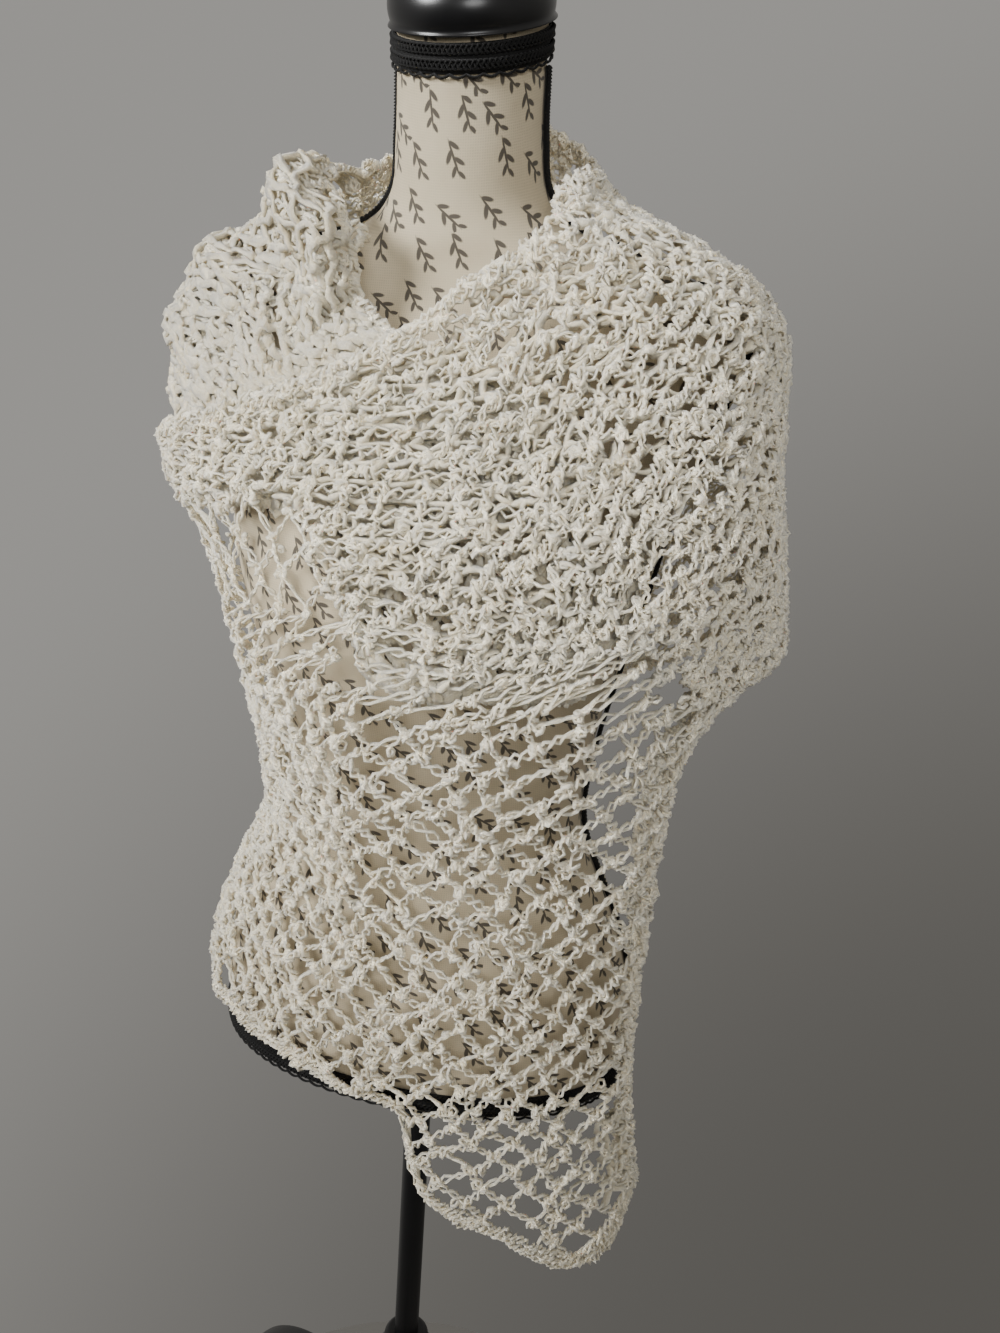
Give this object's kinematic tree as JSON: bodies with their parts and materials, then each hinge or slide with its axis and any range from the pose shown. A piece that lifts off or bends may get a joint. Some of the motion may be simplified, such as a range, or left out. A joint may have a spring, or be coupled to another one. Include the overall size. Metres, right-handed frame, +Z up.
{
  "type": "lace shawl on dress form",
  "caption": "Off-white crochet net shawl wrapped over both shoulders of a limbless linen dress form, crossing the chest and falling to a free tail, on a black tripod stand.",
  "frame": {"origin": "on the floor under the middle of the whole object's box", "axes": "+Z up, front of the form facing -Y, +X to the wearer's left"},
  "size_m": [0.4662, 0.405, 1.4401],
  "materials": {
    "lace": "matte curled yarn",
    "linen": "matte woven",
    "braid": "matte braided",
    "black_wood": "satin paint",
    "black_metal": "satin"
  },
  "bodies": {
    "root": {"form_body": "linen", "form_neck_cap": "black_wood", "form_neck_braid": "braid", "form_hem_braid": "braid", "form_armhole_braid_left": "braid", "form_shoulder_braid_left": "braid", "form_side_braid_left": "braid", "form_armhole_braid_right": "braid", "form_shoulder_braid_right": "braid", "form_side_braid_right": "braid", "stand_hub": "black_metal", "stand_pole": "black_metal", "stand_leg_1": "black_metal", "stand_foot_1": "black_metal", "stand_leg_2": "black_metal", "stand_foot_2": "black_metal", "stand_leg_3": "black_metal", "stand_foot_3": "black_metal", "shawl_front": "lace", "shawl_shoulder": "lace", "shawl_back": "lace"}
  },
  "joints": []
}
